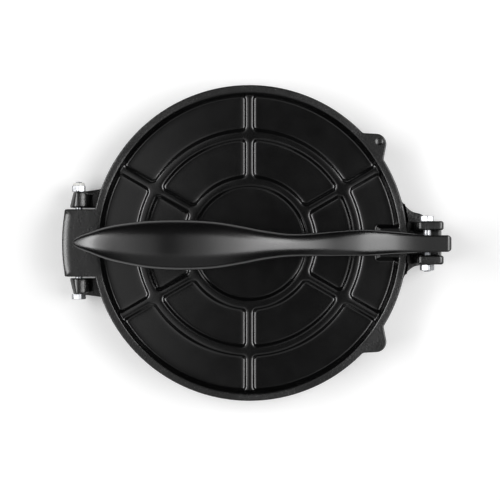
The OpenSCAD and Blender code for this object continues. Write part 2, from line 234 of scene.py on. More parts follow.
def circle_part(u, v, radius, first, last, count):
    """Points of a circle about (u, v) from the first to the last angle in degrees."""
    a = np.radians(np.linspace(first, last, count))
    return np.stack([u + radius * np.cos(a), v + radius * np.sin(a)], -1)


foot_w = 8.0
recess_d = 4.0
boss_r = 14.0
under_ring_r = 58.3
under_rib_w = 4.0
under_z = 0.5
edge_round = 0.8


def under_height(x, y):
    """Height of the lower plate's underside: a recess with a middle boss, a
    foot ring, one ring and six ribs, each the ramp of its own distance."""
    r = np.hypot(x, y)
    half = under_rib_w / 2
    bands = [(boss_r + 1, under_ring_r - half - 0.6), (under_ring_r + half + 0.6, plate_r - foot_w - 1)]
    depth = in_pockets(r, across_rib(x, y), bands, half + 0.6, 2.5)
    ribs = under_z + ramp(depth + 0.6, 1.0, recess_d - under_z, 0.3)
    foot = recess_d - ramp(r - (plate_r - foot_w - 1), 1.0, recess_d, 0.3)
    boss = recess_d - ramp(boss_r + 1 - r, 1.0, recess_d, 0.3)
    return np.minimum(ribs, np.minimum(foot, boss))


def lower_disc():
    """The round plate as rings of points: the pressing face from the middle
    out, a quarter circle over each edge, and the underside's height back in."""
    near_ribs = [(a + turn, 0.06, 0.007) for a in rib_angles for turn in (-2 * np.pi, 0, 2 * np.pi)]
    t = spaced(0, 2 * np.pi, 0.04, near_ribs)[:-1]
    walls = [(a, np.array([-5, -2.5, 0, 2.5, 5]), boss_r) for a in rib_angles]
    turn = np.linspace(0, np.pi / 2, 6)
    inner_r = plate_r - edge_round
    top = [(r, base_h) for r in (8, 20, 40, 60, 78)]
    over = [(inner_r + edge_round * math.sin(a), base_h - edge_round * (1 - math.cos(a))) for a in turn]
    side = [(plate_r, z) for z in (8, 6, 4, 2)]
    below = [(inner_r + edge_round * math.cos(a), edge_round * (1 - math.sin(a))) for a in turn]
    rows = [np.stack([r * np.cos(t), r * np.sin(t), z + 0 * t], -1) for r, z in top + over + side + below]
    edges = [plate_r - foot_w, under_ring_r - 2.3, under_ring_r + 2.3, boss_r + 0.5]
    for r in spaced(3, inner_r - 0.3, 4.0, [(edge, 2.2, 0.35) for edge in edges])[::-1]:
        a = along_walls(t, r, walls)
        x, y = r * np.cos(a), r * np.sin(a)
        rows.append(np.stack([x, y, under_height(x, y)], -1))
    return skin("lower_disc", np.array(rows))


lug_low = 1.5
lug_in = knuckle_half + 0.9
lug_out = lug_in + 8.6
lug_r = 6.4
lug_end_r = 99.2
lug_rake = 2.0
web_end = hinge_x + 3 * lug_r
web_z = hinge_z - 2.0


def hinge_lug(side):
    """One lug: the outline of a round eye that runs through a fillet into a
    low web, carried across from the inner to the outer face. The eye's back
    is pressed in to a circle about the press's middle. The outer side has a
    waist, a bell curve deep, and then flares out by the square of the
    distance, up to 2 mm, to meet the plate."""
    fillet = 2.5
    rise = 1.65
    reach = math.sqrt((lug_r + fillet) ** 2 - rise**2)
    tilt = math.degrees(math.atan2(rise, reach))
    outline = np.vstack([
        circle_part(hinge_x, hinge_z, lug_r, tilt, 190, 40),
        circle_part(hinge_x - lug_r + lug_rake + 0.8, lug_low + 0.8, 0.8, 195, 270, 5),
        [(web_end, lug_low), (web_end, web_z)],
        circle_part(hinge_x + reach, hinge_z + rise, fillet, 266, 180 + tilt, 10),
    ])
    x, z, y = np.moveaxis(outline_slab(stepped(outline, 0.7), lug_in, lug_out, 0.9), -1, 0)
    room = (np.sqrt(lug_end_r**2 - y**2) + hinge_x) / lug_r
    x = np.where(x < hinge_x, hinge_x + (x - hinge_x) * room, x)
    outward = (y - lug_in) / (lug_out - lug_in)
    past = x - hinge_x - 6.5
    waist = 1.1 * np.exp(-((past / 3.2) ** 2))
    flare = np.minimum(0.045 * np.maximum(past, 0) ** 2, 2.0)
    y = y + (flare - waist) * outward
    return skin("hinge_lug", np.stack([x, side * y, z], -1))


tongue_z = 12.0
slot_half = 6.7
ear_out = 11.5
ear_back = pivot_x - 5.4
ear_front = pivot_x + 8.5
ear_top = pivot_z + 5.4
tongue_front = ear_front + 1.3
ear_round = 2.3


def bracket_foot():
    """The tongue between the plate and the lever's lugs, as an outline seen
    from above and carried up. Its concave sides are smooth curves through
    the casting's own points, wider on the left. Above the pressing face,
    its back is an arc that leaves room for the upper plate, and what lies
    inside that arc is moved to where the sides cross it."""
    left = [
        (80.8, 25.8), (82.0, 23.6), (83.2, 21.8), (84.4, 20.2), (85.8, 18.8), (87.3, 17.6), (89.0, 16.7),
        (91.5, 16.1), (93.6, 15.2), (95.8, 12.9), (98.5, ear_out),
    ]
    right = [
        (81.5, 23.6), (82.6, 21.4), (83.4, 19.6), (84.1, 17.8), (85.1, 16.1), (86.4, 14.7), (89.0, 12.9),
        (91.5, 12.2), (95, ear_out),
    ]
    parts = []
    for side, points in ((1, left), (-1, right)):
        xs, ys = np.array(points).T
        at = np.linspace(xs[0], xs[-1], 60)
        flare = np.stack([at, through(xs, ys, at)], -1)
        corner = circle_part(tongue_front - ear_round, ear_out - ear_round, ear_round, 90, 0, 8)
        half = np.vstack([flare, corner]) * [1, side]
        parts.append(half if side > 0 else half[::-1])
    rim = np.vstack(parts)
    clear = np.flatnonzero(np.linalg.norm(rim, axis=1) >= gap_r)[[0, -1]]
    last, first = (math.degrees(math.atan2(p[1], p[0])) for p in rim[clear])
    back = circle_part(0, 0, gap_r, first, last, 40)[1:-1]
    outline = np.vstack([rim, back])
    is_back = np.arange(len(outline)) >= len(rim)
    grid = outline_slab(outline, lug_low, tongue_z, edge_round)
    lower = grid[..., 2] < base_h
    low_r = gap_r - 5
    inner = outline * (low_r / np.linalg.norm(outline, axis=1, keepdims=True))
    grid[..., :2] = np.where((lower & is_back)[..., None], inner, grid[..., :2])
    nearest = np.arange(len(outline))
    nearest[:len(rim)] = np.clip(nearest[:len(rim)], *clear)
    grid = np.where(lower[..., None], grid, grid[:, nearest])
    step = int(np.argmax(grid[:, 0, 2] >= base_h))
    ledge = grid[step].copy()
    ledge[:, 2] = base_h - 0.2
    below = ledge.copy()
    below[is_back, :2] = inner[is_back]
    grid = np.concatenate([grid[:step], [below, ledge], grid[step:]])
    return skin("bracket_foot", grid)


def lever_lug(side):
    """One upright lug: a rounded rectangle seen from above, carried up. At
    its foot a fillet widens it towards the slot and the plate, by
    f - sqrt(f^2 - (f - h)^2) at a height h; at its top its ends and sides
    draw in by quarter circles of their own radii."""
    soft, top_soft = 1.3, 1.0
    turn = np.linspace(0, np.pi / 2, 8)
    foot = tongue_z + 3.6 * (1 - np.cos(turn))
    level = np.concatenate([[3, 8], foot, np.linspace(foot[-1], ear_top - ear_round, 10)[1:]])
    level = np.concatenate([level, ear_top - ear_round * (1 - np.sin(turn[1:])), [ear_top]])
    level = np.unique(np.concatenate([level, ear_top - top_soft * (1 - np.sin(turn))]))[:, None]

    def fillet(radius):
        gap = np.clip(tongue_z + radius - level, 0, radius)
        return radius - np.sqrt(radius**2 - gap**2)

    def drawn_in(radius):
        gap = np.clip(level - (ear_top - radius), 0, radius)
        return radius - np.sqrt(radius**2 - gap**2)

    back = ear_back - fillet(3.6) + drawn_in(ear_round)
    front = ear_front - drawn_in(ear_round)
    inner = slot_half - fillet(1.4) + drawn_in(top_soft)
    outer = ear_out - drawn_in(top_soft)
    corners = np.radians(np.concatenate([np.linspace(k * 90, k * 90 + 90, 6) for k in range(4)]))
    east, north = np.sign(np.cos(corners - 1e-6)), np.sign(np.sin(corners + 1e-6))
    x = np.where(east > 0, front - soft, back + soft) + soft * np.cos(corners)
    y = np.where(north > 0, outer - soft, inner + soft) + soft * np.sin(corners)
    return skin("lever_lug", np.stack([x, side * y, level + 0 * x], -1))


lugs = [make(side) for make in (lever_lug, hinge_lug) for side in (1, -1)]
base_body = combined("base_body", lower_disc(), [bracket_foot(), *lugs], "UNION")
knuckle_room_r = 8.8
cutters = [
    bar(hinge_x, hinge_z, knuckle_room_r, lug_in),
    bar(hinge_x, hinge_z, hole_r, 40),
    bar(pivot_x, pivot_z, hole_r, 20),
]
base_plate = combined("base_casting", base_body, cutters, "DIFFERENCE")


class Wire:
    """A shader value. Python's operators on it add the Math nodes."""

    def __init__(self, tree, socket=None):
        self.tree, self.socket = tree, socket

    def node(self, kind, settings, inputs, output=0):
        """Adds a node of any kind: first its settings, then the values or
        wires of its sockets. Gives back the wire from one output."""
        made = self.tree.nodes.new(kind)
        for key, value in settings.items():
            setattr(made, key, value)
        for key, value in inputs.items():
            if isinstance(value, Wire):
                self.tree.links.new(value.socket, made.inputs[key])
            else:
                made.inputs[key].default_value = value
        return Wire(self.tree, made.outputs[output])

    def math(self, operation, first, second):
        """A Math node on two values or wires."""
        return self.node("ShaderNodeMath", {"operation": operation}, {0: first, 1: second})

    def __add__(self, other):
        return self.math("ADD", self, other)

    def __sub__(self, other):
        return self.math("SUBTRACT", self, other)

    def __rsub__(self, other):
        return self.math("SUBTRACT", other, self)

    def __mul__(self, other):
        return self.math("MULTIPLY", self, other)

    __radd__, __rmul__ = __add__, __mul__

    def between(self, low, high):
        """0 below low, 1 above high and a smooth step between them."""
        settings = {"interpolation_type": "SMOOTHSTEP"}
        inputs = {"Value": self, "From Min": low, "From Max": high}
        return self.node("ShaderNodeMapRange", settings, inputs)


class Finish:
    """A surface finish: its material, its shader's constants and the wires
    drawn from the object's own coordinates. place is the point, reach its
    distance from the Z axis."""

    def __init__(self, name, **constants):
        self.material = bpy.data.materials.new(name)
        self.material.use_nodes = True
        self.tree = self.material.node_tree
        self.shader = self.tree.nodes["Principled BSDF"]
        for key, value in constants.items():
            self.shader.inputs[key.replace("_", " ").title().replace("Ior", "IOR")].default_value = value
        self.place = Wire(self.tree).node("ShaderNodeTexCoord", {}, {}, "Object")
        times = {"operation": "MULTIPLY"}
        length = {"operation": "LENGTH"}
        level = self.place.node("ShaderNodeVectorMath", times, {0: self.place, 1: (1, 1, 0)})
        self.reach = level.node("ShaderNodeVectorMath", length, {0: level}, "Value")

    def grain(self, size, detail=3.0, rough=0.5, stretch=(1, 1, 1)):
        """Noise from 0 to 1 whose lumps are about size millimetres across."""
        scale = tuple(s / (size * MM) for s in stretch)
        times = {"operation": "MULTIPLY"}
        sized = self.place.node("ShaderNodeVectorMath", times, {0: self.place, 1: scale})
        inputs = {"Vector": sized, "Scale": 1.0, "Detail": detail, "Roughness": rough}
        return sized.node("ShaderNodeTexNoise", {}, inputs)

    def shade(self, mask, first, second):
        """The first colour where the mask is 0, the second where it is 1."""
        settings = {"data_type": "RGBA"}
        inputs = {"Factor": mask, 6: (*first, 1), 7: (*second, 1)}
        return mask.node("ShaderNodeMix", settings, inputs, 2)

    def relief(self, height, depth):
        """Bumps of the height's 0 to 1, depth millimetres deep."""
        inputs = {"Height": height, "Distance": depth * MM, "Strength": 1.0}
        return height.node("ShaderNodeBump", {}, inputs)

    def set(self, **wires):
        """Leads each wire to the shader's socket of that name."""
        for key, wire in wires.items():
            self.tree.links.new(wire.socket, self.shader.inputs[key.replace("_", " ").title()])
        return self

    def on(self, piece):
        """Gives the piece this finish and no other."""
        piece.data.materials.clear()
        piece.data.materials.append(self.material)


def baked_coating():
    """Black coating over sand-cast iron. The panels are smooth. From the rim
    outwards it is duller and coarse in patches, with a few pale specks, and
    towards the ends of knuckle and lugs it is smoother again."""
    finish = Finish("baked_coating", specular_ior_level=1.0)
    edge = finish.reach.between(80.8 * MM, 82.2 * MM)
    mottle = finish.grain(9, 2)
    fine = finish.grain(0.45, 2)
    coarse = finish.grain(0.9, 3)
    patchy = finish.grain(24, 2).between(0.42, 0.6)
    rough_cast = edge * (1 - finish.reach.between(93 * MM, 96.5 * MM) * 0.75)
    # Pale grey specks, at random, from the rim outwards.
    specks = finish.grain(0.6, 1).between(0.73, 0.77) * edge
    colour = finish.shade(mottle, (0.0012, 0.0012, 0.0013), (0.0026, 0.0026, 0.0027))
    inputs = {"Factor": specks * 0.5, 6: colour, 7: (0.2, 0.2, 0.2, 1)}
    specked = colour.node("ShaderNodeMix", {"data_type": "RGBA"}, inputs, 2)
    rough = 0.17 + edge * 0.10 + (mottle - 0.5) * 0.05 + specks * 0.2
    height = fine * 0.02 + coarse * (0.02 + rough_cast * (0.35 + patchy * 0.65))
    bumps = finish.relief(height, 0.2)
    return finish.set(base_color=specked, roughness=rough, normal=bumps)


plate_coating = baked_coating()
plate_coating.on(base_plate)
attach(base_plate, "base")
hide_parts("base_plate")


# ---------------------------------------------------------------- upper plate
# The upper casting: the same coated iron. A raised rim, two rings and six
# radial ribs stiffen it, a pad in the rim takes the lever's nose, two tabs
# lift it, and its knuckle hangs on the hinge bolt between the lower lugs.

face_z = base_h + face_gap
floor_z = face_z + 4.0
rim_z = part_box("top_plate")[1].z / MM
rim_h = rim_z - floor_z
rib_h = 1.5
rim_flat_r = plate_r - 4.1
rim_foot_r = rim_flat_r - 2.1
ring_feet = (29.9, 36.4, 55.1, 61.5)
rib_foot = 2.8
rib_draft = 1.2
pad_draft = 1.6
pad_back = 68.3
pad_foot = 9.6
tab_angle = math.radians(38)
tab_r = 5.6
tab_out = 1.4
tab_flank = math.radians(41)
tab_round_to = 0.0469
knuckle_end = 101.0
knuckle_r = 8.2
knuckle_slope = math.radians(29)
knuckle_bevel = 4.2
knuckle_bend = 0.9
dimple_r = 2.0
top_soft_r = rim_flat_r + 1.0


def smooth_max(a, b, k):
    """The greater of two, with the crease filled by (k - |a - b|)^2 / 4k."""
    return np.maximum(a, b) + np.maximum(k - np.abs(a - b), 0) ** 2 / (4 * k)


def turned_from(t, angle):
    """How far the angles t lie from an angle, either way round."""
    return np.abs((t - angle + np.pi) % (2 * np.pi) - np.pi)


def upper_outline(t):
    """Radius of the upper plate at the angles t: its circle, joined softly
    to each tab's circle and straight flanks and to the knuckle's arc and
    parallel sides. A tab's circle passes into its flanks at the angle
    tab_round_to from its middle."""
    radius = np.full_like(t, plate_r)
    middle = plate_r + tab_out
    for angle in (tab_angle, -tab_angle):
        d = turned_from(t, angle)
        tip = middle * np.cos(d) + np.sqrt(np.maximum(tab_r**2 - (middle * np.sin(d)) ** 2, 0))
        straight = (middle * math.sin(tab_flank) + tab_r) / np.sin(tab_flank + d)
        tab = np.where(d < tab_round_to, tip, straight)
        radius = np.where(d < 0.3, smooth_max(radius, tab, 0.5), radius)
    d = turned_from(t, np.pi)
    side = knuckle_half / np.maximum(np.sin(d), 1e-3)
    knuckle = -smooth_max(-side, np.full_like(t, -knuckle_end), 2.4)
    return np.where(d < 0.5, smooth_max(radius, knuckle, 0.5), radius)


def upper_height(x, y):
    """Height of the upper plate's top inside its flat rim: the greatest of
    the rim's ramp, the pad's and the ribs', each by its own distance."""
    r = np.hypot(x, y)
    bands = [ring_feet[1:3], (ring_feet[3], rim_foot_r + 0.2)]
    depth = in_pockets(r, across_rib(x, y), bands, rib_foot, 1.8)
    depth = np.maximum(depth, ring_feet[0] - r)
    ribs = rib_h - ramp(depth + rib_draft, rib_draft, rib_h, 0.45)
    rim = ramp(r - rim_foot_r, rim_flat_r - rim_foot_r, rim_h, 0.32)
    corner = 2.0
    gaps = np.stack([x - pad_back, pad_foot - np.abs(y)])
    inside = corner - np.linalg.norm(np.maximum(corner - gaps, 0), axis=0)
    pad = ramp(inside, pad_draft, rim_h, 0.22)
    return floor_z + np.minimum(np.maximum(np.maximum(ribs, rim), pad), rim_h)


def upper_casting():
    """The whole plate as one skin of rings: the top's height out to the
    rim's flat, straight out from there to the outline, a quarter circle
    over the edge, down the wall, in under the knuckle and the tabs, and
    the flat pressing face back to the middle. At the knuckle's end the
    quarter circle gives way to a bevel, a parabola that falls to its
    steepest and then bends round into the wall."""
    line = np.array([-5.6, -rib_foot, -1.5, 0, 1.5, rib_foot, 5.6])
    walls = [(a, line, 27) for a in rib_angles] + [(0.0, np.array([-11, -8.8, 0, 8.8, 11]), 66)]
    full = 2 * np.pi
    degree = np.pi / 180
    windows = [(a + s * 1.65 * degree, 1.25 * degree, 0.23 * degree) for a in rib_angles for s in (-1, 1)]
    windows += [(np.pi + s * 11.4 * degree, 1.35 * degree, 0.12 * degree) for s in (-1, 1)]
    windows += [(tab_angle, 6.5 * degree, 0.27 * degree), (full - tab_angle, 6.5 * degree, 0.4 * degree)]
    windows += [(full * k + s * 6.3 * degree, 1.3 * degree, 0.25 * degree) for k in (0, 1) for s in (-1, 1)]
    t = spaced(0, full, 2 * degree, windows)[:-1]

    rows = []
    near = [(r, 2.4, 0.24) for r in (30.4, 35.8, 55.6, 60.9, 69.1, 79.9)]
    for r in spaced(3, top_soft_r, 4.0, near):
        a = along_walls(t, r, walls)
        x, y = r * np.cos(a), r * np.sin(a)
        rows.append(np.stack([x, y, upper_height(x, y)], -1))

    a = along_walls(t, top_soft_r, walls)
    unit = np.stack([np.cos(a), np.sin(a)], -1)
    start = top_soft_r * unit
    edge = upper_outline(a)[:, None] * unit
    along = np.roll(edge, -1, 0) - np.roll(edge, 1, 0)
    out = np.stack([along[:, 1], -along[:, 0]], -1) / np.linalg.norm(along, axis=1, keepdims=True)
    reach = np.linalg.norm(edge, axis=1)
    outward = np.clip((reach - 97) / 3, 0, 1)
    inboard = np.clip((knuckle_half - 0.2 - np.abs(edge[:, 1])) / 2.4, 0, 1)
    end_share = outward * inboard
    end_share = (end_share**2 * (3 - 2 * end_share))[:, None]
    slope = np.linspace(knuckle_slope, np.pi / 2, 8)
    down = np.linspace(0, 1, 8)[:-1]
    sunk_by = knuckle_bevel / 2 * math.tan(knuckle_slope)
    bevel_in = knuckle_bevel * (1 - down) + knuckle_bend * (1 - math.sin(knuckle_slope))
    bent_in = np.concatenate([bevel_in, knuckle_bend * (1 - np.sin(slope))])
    bend_low = sunk_by + knuckle_bend * (math.cos(knuckle_slope) - np.cos(slope))
    bent_low = np.concatenate([sunk_by * down**2, bend_low])
    turn = np.linspace(0, np.pi / 2, len(bent_in))
    drawn_in = edge_round * (1 - np.sin(turn)) * (1 - end_share) + bent_in * end_share
    lowered = edge_round * (1 - np.cos(turn)) * (1 - end_share) + bent_low * end_share
    over = drawn_in[:, :1]
    dimple_at = (plate_r + tab_out + 2.4) * np.array([math.cos(tab_angle), math.sin(tab_angle)])
    for share in np.linspace(0, 1, 18)[1:]:
        flat = start + share * (edge - over * out - start)
        sunk = np.clip((dimple_r - np.linalg.norm(flat - dimple_at, axis=1)) / 0.7, 0, 1)
        rows.append(np.column_stack([flat, rim_z - 0.5 * sunk**2 * (3 - 2 * sunk)]))
    for k in range(1, len(bent_in)):
        rows.append(np.column_stack([edge - drawn_in[:, k:k + 1] * out, rim_z - lowered[:, k]]))

    on_knuckle = (reach > plate_r + 0.3) & (edge[:, 0] < 0)
    tab_low = rim_z - 5.0

    def under(points, elsewhere):
        """The knuckle's round underside, or the given height off the knuckle."""
        drop = np.sqrt(np.maximum(knuckle_r**2 - (points[:, 0] - hinge_x) ** 2, 0))
        return np.where(on_knuckle, hinge_z - drop, elsewhere)

    wall_top = rim_z - lowered[:, -1]
    wall_low = under(edge, tab_low)
    for share in np.linspace(0, 1, 8)[1:]:
        rows.append(np.column_stack([edge, wall_top + share * (wall_low - wall_top)]))
    for share in (1 - np.cos(np.linspace(0, np.pi, 22)[1:])) / 2:
        inward = edge + share * (plate_r * unit - edge)
        rows.append(np.column_stack([inward, under(inward, tab_low - 1.5 * share)]))
    chamfer = [(plate_r, 11.1), (84.8, 10.65), (84.5, 10.4), (84.2, face_z), (83.9, face_z), (83, face_z)]
    for r, z in chamfer:
        ring = r * unit
        rows.append(np.column_stack([ring, np.minimum(under(ring, z), z)]))
    for r in (80, 70, 50, 30, 10):
        rows.append(np.column_stack([r * unit, np.full(len(t), face_z)]))
    return skin("upper_body", np.array(rows))


bolt_hole = bar(hinge_x, hinge_z, hole_r, 25)
top_plate = combined("upper_plate_casting", upper_casting(), [bolt_hole], "DIFFERENCE")
plate_coating.on(top_plate)
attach(top_plate, "upper_plate")
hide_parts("top_plate")


# ----------------------------------------------------------------- hinge bolt
# A bright zinc-plated M4 hexagon bolt, long enough for both lugs and the
# knuckle. Only the last 14 mm of its shank are threaded.

bolt_r = 2.0
half_af = 3.5
corner_r = half_af * 1.118
head_h = 2.8
pitch = 0.7
thread_len = 14.0


def hexagon(t, turn):
    """Radius of a hexagon of the spanner size at the angles t, its corners
    rounded a little: half the size over the cosine of the angle from the
    nearest flat's middle."""
    away = (t - turn + np.pi / 6) % (np.pi / 3) - np.pi / 6
    return np.minimum(half_af / np.cos(away), corner_r)


def about_axis(x, z, y, radius, t):
    """Rings of points about the line along Y through (x, z)."""
    y = np.broadcast_to(np.asarray(y, float)[:, None], radius.shape)
    return np.stack([x + radius * np.cos(t), y, z + radius * np.sin(t)], -1)


def hexagon_rings(t, turn, height):
    """Distances from a hexagon's outer face and its radii there: at a
    distance d a 30 degree cone of radius r + 1.73 d cuts its corners."""
    depth = np.array([0, 0.08, 0.16, 0.24, 0.32, 0.42, 0.55, 0.8, height])
    cone = half_af * 0.94 + depth * math.sqrt(3)
    cone[0] -= 0.12
    return depth, np.minimum(hexagon(t, turn), cone[:, None])


def bolt(name, x, z, head_y, end_y, turn):
    """A bolt along Y, skinned from the middle of its head to its end: the
    hexagon, the shank's circle, then the thread. There the radius falls by
    0.61 of the pitch times |2u - 1|, u being how far round and along the
    helix a point is, less at the thread's run-out."""
    way = 1 if end_y > head_y else -1
    t = np.linspace(0, 2 * np.pi, 96, endpoint=False)
    depth, radii = hexagon_rings(t, turn, head_h)
    length = abs(end_y - head_y)
    run = np.concatenate([[0.02, 0.3], np.linspace(1, length - thread_len - 1, 20)])
    run = np.concatenate([run, np.arange(length - thread_len, length, 0.07), [length]])
    u = (run[:, None] / pitch - t / (2 * np.pi)) % 1
    cut = np.clip((run - (length - thread_len)) / 1.0, 0, 1)[:, None]
    groove = 0.36 * np.clip(1.25 * np.abs(2 * u - 1) - 0.12, 0, 1) * cut
    end = np.minimum(bolt_r, bolt_r - 0.45 + (length - run))[:, None]
    shank = np.minimum(bolt_r - groove, end)
    y = np.concatenate([head_y - way * (head_h - depth), head_y + way * run])
    return skin(name, about_axis(x, z, y, np.vstack([radii, shank]), t))


def zinc_plate():
    """Bright zinc: nearly white metal with fine turning marks round it and a
    soft mottle in its gloss and its tone."""
    finish = Finish("zinc_plate", metallic=1.0)
    mottle = finish.grain(1.4, 3)
    lines = finish.grain(0.5, 2, 0.6, (1, 6, 1))
    colour = finish.shade(mottle.between(0.3, 0.7), (0.46, 0.47, 0.49), (0.70, 0.71, 0.73))
    return finish.set(
        base_color=colour,
        roughness=0.24 + mottle * 0.16 + lines * 0.06,
        normal=finish.relief(lines, 0.006),
    )


zinc_finish = zinc_plate()
lock_nut_h = 3.4
collar_h = 1.4
bolt_end = lug_out + lock_nut_h + collar_h + 0.6
hinge_bolt = bolt("hinge_bolt_piece", hinge_x, hinge_z, -lug_out, bolt_end, math.pi * 11 / 48)
zinc_finish.on(hinge_bolt)
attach(hinge_bolt, "base")
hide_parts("hinge_bolt")


# ------------------------------------------------------------- hinge lock nut
# The steel part of an M4 lock nut, zinc plated, chamfered at both ends and
# round its thread. It is run up to the lug and no further, so the hinge
# stays free.


def nut(name, x, z, y, way, height, turn):
    """A nut against the face at y: a ring whose section runs up the
    hexagon with both its corners cut by cones, over the end and back
    through the bore, whose mouths widen by 0.35 mm."""
    t = np.linspace(0, 2 * np.pi, 96, endpoint=False)
    depth, radii = hexagon_rings(t, turn, height / 2)
    up = np.concatenate([depth, height - depth[-2::-1]])
    outer = np.vstack([radii, radii[-2::-1]])
    mouth = np.array([height, height, height - 0.35, 0.35, 0, 0])
    bore = np.array([bolt_r + 0.6, bolt_r + 0.35, bolt_r, bolt_r, bolt_r + 0.35, bolt_r + 0.6])
    radius = np.vstack([outer, np.repeat(bore[:, None], len(t), 1)])
    return skin(name, about_axis(x, z, y + way * np.concatenate([up, mouth]), radius, t), ring=True)


hinge_lock_nut = nut("hinge_lock_nut_piece", hinge_x, hinge_z, lug_out, 1, lock_nut_h, 0.0)
zinc_finish.on(hinge_lock_nut)
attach(hinge_lock_nut, "base")
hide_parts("hinge_lock_nut")


# ----------------------------------------------------------- hinge nut collar
# The lock nut's nylon collar, moulded in natural nylon. The bolt cuts its
# own thread in it, which is what holds the nut.


def nylon_collar():
    """A ring whose section is a rectangle. A quarter circle rounds its outer
    edge, and the bore's mouths widen by 0.2 mm."""
    t = np.linspace(0, 2 * np.pi, 96, endpoint=False)
    outer = half_af - 0.4
    soft = 0.35
    mouth_r = bolt_r + 0.2
    turn = np.linspace(0, np.pi / 2, 6)
    along = [0, 0.05, *(collar_h - soft * (1 - np.sin(turn))), collar_h, collar_h - 0.2, 0.2, 0]
    radius = [outer - 0.05, outer, *(outer - soft * (1 - np.cos(turn))), mouth_r, bolt_r, bolt_r, mouth_r]
    rings = np.repeat(np.array(radius)[:, None], len(t), 1)
    y = lug_out + lock_nut_h + np.array(along)
    return skin("hinge_collar_piece", about_axis(hinge_x, hinge_z, y, rings, t), ring=True)


def natural_nylon():
    """Off-white nylon: faintly clouded, with a soft waxy gloss."""
    finish = Finish("natural_nylon")
    cloud = finish.grain(1.2, 2)
    colour = finish.shade(cloud, (0.74, 0.74, 0.70), (0.84, 0.84, 0.81))
    return finish.set(base_color=colour, roughness=0.42 + cloud * 0.12, normal=finish.relief(cloud, 0.01))


hinge_nut_collar = nylon_collar()
natural_nylon().on(hinge_nut_collar)
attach(hinge_nut_collar, "base")
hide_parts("hinge_nut_collar")


# ---------------------------------------------------------------------- lever
# One cast-iron lever, ground smooth and coated black. A leaf-shaped handle
# runs down a slim neck to the nose that bears on the upper plate, and to
# the eye that turns on the front bolt.

tip_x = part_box("lever")[0].x / MM
heel_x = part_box("lever")[1].x / MM
crest_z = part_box("lever")[1].z / MM
heel_r = 2.4
heel_low_r = 1.8
heel_low_z = 25.6
nose_x = pivot_x - 23.7
nose_r = 2.6
nose_z = rim_z + 0.3 + nose_r

# Stations along X with the top line's slope in degrees, the half width, and
# how far the middle line lies to the side.
slopes = [
    (tip_x, 74), (-91.2, 42), (-90.5, 31), (-88.5, 27.8), (-86.5, 26.2), (-84, 23.8), (-81.7, 20.4),
    (-79, 17), (-76.5, 14.3), (-73.5, 12), (-70, 10.2), (-66, 8.8), (-61, 6.8), (-56, 4.8), (-51, 2.2),
    (-47, 0), (-43, -2), (-38, -4.2), (-30.4, -6.9), (-20, -9.9), (-10, -12.9), (5.4, -18.2), (15.7, -19.2),
    (26, -17), (36.6, -12.8), (44.5, -8.2), (52.4, -9.4), (58, -13.4), (62, -16.2), (70.5, -16.5),
    (76.4, -13.8), (81.8, -7.8), (87, -3.8), (93.5, -1.2), (heel_x - heel_r, -1),
]
half_widths = [
    (tip_x, 0), (-87.4, 3.6), (-82.1, 5.5), (-71.7, 8.9), (-61.2, 10.9), (-51, 12.2), (-35.6, 12.9),
    (-17.7, 12.3), (-2.3, 10.1), (5.4, 8.6), (13.1, 7.3), (20.9, 6.3), (31, 6.05), (44.5, 6.5), (61.7, 6.9),
    (69, 6.5), (76.8, 5.85), (87.6, 4.95), (94.2, 4.45), (heel_x, 4.45),
]
sway = [
    (tip_x, 0), (-84, 0), (-70, -0.35), (-54, -0.9), (-38, -1.2), (-22, -1.25), (10, -1.25), (26, -1.2),
    (42, -0.6), (54, -0.1), (75, 0), (93, -0.4), (heel_x, -0.4),
]

# How deep the section's top and bottom curves are against its half width,
# and the power n of each curve.
top_depths = [
    (tip_x, 0.46), (-40, 0.46), (-18, 0.48), (0, 0.56), (12, 0.62), (28, 0.6), (42, 0.47), (52, 0.42),
    (76, 0.42), (88, 0.34), (96, 0.25), (heel_x - 1.6, 0.2), (heel_x, 0),
]
low_depths = [
    (tip_x, 0.14), (15, 0.16), (40, 0.24), (52, 0.28), (60, 0.2), (76, 0.18), (88, 0.2), (96, 0.25),
    (heel_x - 1.6, 0.2), (heel_x, 0),
]
top_powers = [
    (tip_x, 2.15), (15, 2.05), (40, 2.1), (52, 2.5), (60, 2.9), (76, 3.1), (88, 3.8), (96, 4.2),
    (heel_x - 1.6, 4.2), (heel_x, 4),
]
low_powers = [
    (tip_x, 2), (15, 2), (40, 2.2), (52, 2.6), (60, 3), (76, 3.2), (88, 3.8), (96, 4.2),
    (heel_x - 1.6, 4.2), (heel_x, 4),
]


def along_table(table, x):
    """The smooth curve through a table of (station, value), read at x."""
    stations, values = np.array(table).T
    return through(stations, values, x)


def lever_width(x):
    """Half width of the lever: its square runs smoothly through the
    stations' squares, which makes the tip round. A quarter circle rounds
    each corner of the heel."""
    stations, widths = np.array(half_widths).T
    soft = 2.2  # radius of the heel's corners, seen from above
    corner = np.clip(x - (heel_x - soft), 0, soft)
    drawn_in = soft - np.sqrt(soft**2 - corner**2)
    return np.sqrt(np.maximum(through(stations, widths**2, x), 0)) - drawn_in


def lever_top():
    """The lever's top line. Its height is the sum of its slope, which runs
    smoothly through the stations, from the heel up to the crest."""
    stations, degrees = np.array(slopes).T
    share = np.linspace(0, 1, 3000)
    x = tip_x + (stations[-1] - tip_x) * share**1.5
    rise = np.tan(np.radians(through(stations, degrees, x)))
    z = np.concatenate([[0], np.cumsum((rise[1:] + rise[:-1]) / 2 * np.diff(x))])
    return x, z + crest_z - z.max()


def evenly(points, first, last, count):
    """Points spaced evenly by length along part of a curve, between the
    places nearest to first and last."""
    run = np.concatenate([[0], np.cumsum(np.linalg.norm(np.diff(points, axis=0), axis=1))])
    ends = [run[np.argmin(np.linalg.norm(points - np.array(end), axis=1))] for end in (first, last)]
    at = np.linspace(*ends, count)
    return np.stack([np.interp(at, run, points[:, k]) for k in range(2)], -1)


